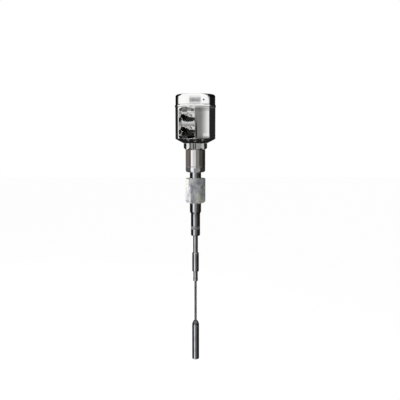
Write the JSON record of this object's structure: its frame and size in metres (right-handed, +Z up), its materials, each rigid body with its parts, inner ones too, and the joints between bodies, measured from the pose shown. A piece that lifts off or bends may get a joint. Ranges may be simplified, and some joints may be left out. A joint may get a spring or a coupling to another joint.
{
  "type": "capacitive level probe",
  "caption": "Rope-type capacitive level probe: round stainless head with screw lid and two cable glands, neck, plastic hexagon bush, electrode rod, rope and gravity weight.",
  "frame": {"origin": "on the probe's axis, on the underside of the plastic hexagon bush where the process spigot starts", "axes": "+Z up along the probe's axis, -Y is the front that the picture shows, +X to the right of it"},
  "size_m": [0.096, 0.103, 0.643],
  "materials": {
    "polished_steel": "polished stainless steel",
    "turned_steel": "turned and polished stainless steel",
    "wire_rope": "stranded stainless wire rope",
    "screw_steel": "plain stainless fasteners",
    "nickel_brass": "nickel plated brass",
    "contact_brass": "plain brass",
    "black_rubber": "matt black",
    "milky_plastic": "milky, slightly see-through natural plastic",
    "insulating_plastic": "matt grey",
    "white_plastic": "matt white",
    "black_plastic": "matt black",
    "board_green": "lacquered board",
    "terminal_green": "matt green"
  },
  "bodies": {
    "process_fitting": {"neck_sleeve": "turned_steel", "swivel_seal": "black_rubber", "retaining_ring": "screw_steel", "stem_fitting": "turned_steel", "process_bush": "milky_plastic", "screen_tube": "turned_steel", "screen_insulator": "insulating_plastic", "core_insulator": "white_plastic", "end_collar": "turned_steel", "probe_rod": "turned_steel", "rod_nut": "turned_steel", "coupling_sleeve": "turned_steel", "rope_ferrule": "turned_steel"},
    "head": {"housing_body": "polished_steel", "electronics_cup": "black_plastic", "circuit_board": "board_green", "contact_pin": "contact_brass", "contact_spring": "screw_steel", "terminal_block": "terminal_green", "terminal_screws": "screw_steel", "module_screws": "screw_steel", "earth_washer": "screw_steel", "earth_screw": "screw_steel", "gland_upper_body": "nickel_brass", "gland_upper_gasket": "black_rubber", "gland_upper_seal": "black_rubber", "gland_lower_body": "nickel_brass", "gland_lower_gasket": "black_rubber", "gland_lower_seal": "black_rubber"},
    "lid_seal_ring": {"lid_seal": "black_rubber"},
    "lid": {"lid": "polished_steel", "lid_lock_screw": "screw_steel"},
    "lock_clamp": {"lock_clamp_ring": "turned_steel"},
    "lock_nut": {"lock_nut": "turned_steel"},
    "gland_upper_ring": {"gland_upper_slip_ring": "insulating_plastic"},
    "gland_upper_cap": {"gland_upper_cap": "nickel_brass"},
    "gland_lower_ring": {"gland_lower_slip_ring": "insulating_plastic"},
    "gland_lower_cap": {"gland_lower_cap": "nickel_brass"},
    "rope_end": {"probe_rope": "wire_rope", "gravity_weight": "turned_steel", "weight_grub_screws": "screw_steel"}
  },
  "joints": [
    {"name": "housing_turn", "type": "hinge", "parent": "process_fitting", "child": "head", "pos_m": [0, 0, 0.15], "axis": [0, 0, 1], "range_deg": [-170, 170]},
    {"name": "lid_lift", "type": "slide", "parent": "head", "child": "lid_seal_ring", "axis": [0, 0, 1], "range_m": [0, 0.01]},
    {"name": "lid_unscrew", "type": "hinge", "parent": "lid_seal_ring", "child": "lid", "pos_m": [0, 0, 0.24], "axis": [0, 0, 1], "range_deg": [0, 1800]},
    {"name": "lock_nut_travel", "type": "slide", "parent": "head", "child": "lock_clamp", "axis": [0, 0, -1], "range_m": [0, 0.000375]},
    {"name": "lock_nut_turn", "type": "hinge", "parent": "lock_clamp", "child": "lock_nut", "pos_m": [0, 0, 0.133], "axis": [0, 0, -1], "range_deg": [0, 90]},
    {"name": "rope_swing", "type": "hinge", "parent": "process_fitting", "child": "rope_end", "pos_m": [0, 0, -0.19], "axis": [0, 1, 0], "range_deg": [-20, 20]},
    {"name": "gland_upper_travel", "type": "slide", "parent": "head", "child": "gland_upper_ring", "axis": [-0.4648, -0.8854, 0], "range_m": [0, 0.0075]},
    {"name": "gland_upper_unscrew", "type": "hinge", "parent": "gland_upper_ring", "child": "gland_upper_cap", "pos_m": [-0.02375, -0.04524, 0.2], "axis": [-0.4648, -0.8854, 0], "range_deg": [0, 1800]},
    {"name": "gland_lower_travel", "type": "slide", "parent": "head", "child": "gland_lower_ring", "axis": [-0.4648, -0.8854, 0], "range_m": [0, 0.0075]},
    {"name": "gland_lower_unscrew", "type": "hinge", "parent": "gland_lower_ring", "child": "gland_lower_cap", "pos_m": [-0.02375, -0.04524, 0.172], "axis": [-0.4648, -0.8854, 0], "range_deg": [0, 1800]}
  ],
  "couplings": [
    {"joint": "lid_lift", "follows": "lid_unscrew", "m_per_rad": 0.00031831},
    {"joint": "lock_nut_travel", "follows": "lock_nut_turn", "m_per_rad": 0.00023873},
    {"joint": "gland_upper_travel", "follows": "gland_upper_unscrew", "m_per_rad": 0.00023873},
    {"joint": "gland_lower_travel", "follows": "gland_lower_unscrew", "m_per_rad": 0.00023873}
  ]
}
